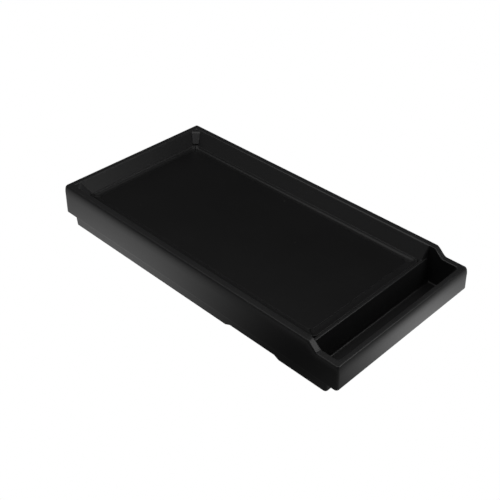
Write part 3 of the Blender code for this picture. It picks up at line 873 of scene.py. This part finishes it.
class TRAY_OT_stage(bpy.types.Operator):
    """Set the pale floor, the soft studio light and the camera"""

    bl_idname = "tray.make_stage"
    bl_label = "Make stage"

    def execute(self, context):
        studio = context.scene.tray_studio
        make_floor(studio)
        make_room(studio)
        make_lights(studio)
        make_camera(context.scene)
        return {"FINISHED"}


# ---------------------------------------------------------------- stage
def split_view(tree, unseen, seen, output):
    """Both shaders turn white; seen is what stands behind the tray, unseen is what lights it."""
    for shader in (unseen, seen):
        shader.inputs["Color"].default_value = (1.0, 1.0, 1.0, 1.0)
    path = node(tree, "ShaderNodeLightPath", (-400, 300))
    choose = node(tree, "ShaderNodeMixShader", (0, 0))
    tree.links.new(path.outputs["Is Camera Ray"], choose.inputs[0])
    tree.links.new(unseen.outputs[0], choose.inputs[1])
    tree.links.new(seen.outputs[0], choose.inputs[2])
    out = node(tree, output, (200, 0))
    tree.links.new(choose.outputs[0], out.inputs["Surface"])


# Soft light and shade on the floor that only the tray sees: centre and reach in metres
# from the origin, and strength.  They stand all round, beside the near wall and along
# the front wall; the shade lies at the near front corner.
FLOOR_POOLS = (
    ((0.0, 0.0), (0.9, 0.7), 1.0),
    ((-0.10, -0.105), (0.19, 0.052), 1.9),
    ((0.205, 0.035), (0.030, 0.105), 3.4),
)
FLOOR_SHADE = ((0.135, -0.13), (0.14, 0.10), 0.93)
FLOOR_HALF = 3.0            # metres


def make_floor(studio):
    """A pale floor: plain white to the eye, with soft pools of light and a shade for the tray."""
    size = FLOOR_HALF
    mesh = bpy.data.meshes.new("studio_floor")
    low = CAD_BOX[0].z
    mesh.from_pydata([(-size, -size, low), (size, -size, low), (size, size, low), (-size, size, low)],
                     [], [(0, 1, 2, 3)])
    floor = bpy.data.objects.new("studio_floor", mesh)
    bpy.context.scene.collection.objects.link(floor)
    material = bpy.data.materials.new("pale_floor")
    material.use_nodes = True
    tree = material.node_tree
    tree.nodes.clear()
    where = node(tree, "ShaderNodeTexCoord", (-1200, 0)).outputs["Object"]

    def pool(centre, reach, depth):
        """depth at the centre, times e to the minus square of the distance over reach."""
        shift = node(tree, "ShaderNodeMapping", (-1000, 0), vector_type="POINT")
        shift.inputs["Location"].default_value = (-centre[0] / reach[0], -centre[1] / reach[1], 0.0)
        shift.inputs["Scale"].default_value = (1 / reach[0], 1 / reach[1], 0.0)
        tree.links.new(where, shift.inputs["Vector"])
        away = node(tree, "ShaderNodeVectorMath", (-800, 0), operation="LENGTH")
        tree.links.new(shift.outputs[0], away.inputs[0])
        square = math_node(tree, "POWER", away.outputs["Value"], 2.0)
        fall = math_node(tree, "POWER", 2.718, math_node(tree, "MULTIPLY", square, -1.0))
        return math_node(tree, "MULTIPLY", fall, depth)

    pools = [pool(centre, reach, strength * studio.floor_level)
             for centre, reach, strength in FLOOR_POOLS]
    glow = pools[0]
    for other in pools[1:]:
        glow = math_node(tree, "ADD", glow, other)
    shade = math_node(tree, "SUBTRACT", 1.0, pool(*FLOOR_SHADE), clamp=True)
    level = math_node(tree, "MULTIPLY", glow, shade)
    unseen = node(tree, "ShaderNodeEmission", (-200, -100))
    tree.links.new(level, unseen.inputs["Strength"])
    seen = node(tree, "ShaderNodeEmission", (-200, 100))
    split_view(tree, unseen, seen, "ShaderNodeOutputMaterial")
    mesh.materials.append(material)


def make_room(studio):
    """A dim room above the floor; the backdrop itself is plain white."""
    world = bpy.data.worlds.new("studio_room")
    bpy.context.scene.world = world
    world.use_nodes = True
    tree = world.node_tree
    tree.nodes.clear()
    dim = node(tree, "ShaderNodeBackground", (-200, -100))
    dim.inputs["Strength"].default_value = studio.sky_level
    split_view(tree, dim, node(tree, "ShaderNodeBackground", (-200, 100)), "ShaderNodeOutputWorld")


def softbox(name, spot, size, power, target=(0.0, 0.0, 0.02)):
    """A rectangular soft light that faces its target; size is its two sides in metres."""
    light = bpy.data.lights.new(name, "AREA")
    light.shape = "RECTANGLE"
    light.size, light.size_y = size
    light.energy = power
    item = bpy.data.objects.new(name, light)
    item.location = spot
    item.rotation_euler = (Vector(target) - Vector(spot)).to_track_quat("-Z", "Y").to_euler()
    bpy.context.scene.collection.objects.link(item)


def make_lights(studio):
    """A broad overhead light, two panels that graze the walls and a low one for the step."""
    softbox("top_softbox", (-0.25, -0.15, 1.3), (1.6, 1.4), studio.top_power)
    softbox("right_softbox", (0.607, 0.537, 0.835), (0.30, 0.30), studio.right_power)
    softbox("slope_light", (0.506, 0.19, 0.27), (0.26, 0.26), studio.slope_power,
            target=(0.168, -0.095, 0.04))
    softbox("left_panel", (-0.85, -1.05, 0.62), (0.9, 0.5), studio.left_power)


CAMERA_SPOT = (0.50649, -0.51816, 0.54807)
CAMERA_TILT, CAMERA_TURN = math.radians(53.347), math.radians(44.706)
CAMERA_LENS = 60.388        # millimetres, on a 36 mm sensor


def make_camera(scene):
    """A moderate telephoto view from the front near corner, well above the tray."""
    camera = bpy.data.cameras.new("studio_camera")
    camera.sensor_width = 36.0
    camera.lens = CAMERA_LENS
    camera.clip_start, camera.clip_end = 0.05, 20.0
    item = bpy.data.objects.new("studio_camera", camera)
    item.location = CAMERA_SPOT
    item.rotation_euler = (CAMERA_TILT, 0.0, CAMERA_TURN)
    scene.collection.objects.link(item)
    scene.camera = item
    scene.view_settings.view_transform = "Standard"


# ---------------------------------------------------------------- panel and run
class TRAY_PT_panel(bpy.types.Panel):
    """Lists the tray's operators and settings"""

    bl_label = "Gaming-table tray"
    bl_idname = "TRAY_PT_panel"
    bl_space_type = "VIEW_3D"
    bl_region_type = "UI"
    bl_category = "Tray"

    def draw(self, context):
        layout = self.layout
        for operator in OPERATORS:
            layout.operator(operator.bl_idname)
        for group in (context.scene.tray_sizes, context.scene.tray_finish, context.scene.tray_studio):
            box = layout.box()
            for key in group.__annotations__:
                box.prop(group, key)


OPERATORS = (TRAY_OT_shell, TRAY_OT_liner, TRAY_OT_base, TRAY_OT_stage)
CLASSES = (TraySizes, TrayFinish, StudioSettings, *OPERATORS, TRAY_PT_panel)


def register():
    for cls in CLASSES:
        bpy.utils.register_class(cls)
    bpy.types.Scene.tray_sizes = PointerProperty(type=TraySizes)
    bpy.types.Scene.tray_finish = PointerProperty(type=TrayFinish)
    bpy.types.Scene.tray_studio = PointerProperty(type=StudioSettings)


def unregister():
    del bpy.types.Scene.tray_studio
    del bpy.types.Scene.tray_finish
    del bpy.types.Scene.tray_sizes
    for cls in reversed(CLASSES):
        bpy.utils.unregister_class(cls)


def main():
    register()
    bpy.ops.tray.make_shell()
    bpy.ops.tray.make_liner()
    bpy.ops.tray.finish_base()
    bpy.ops.tray.make_stage()


if __name__ == "__main__":
    main()
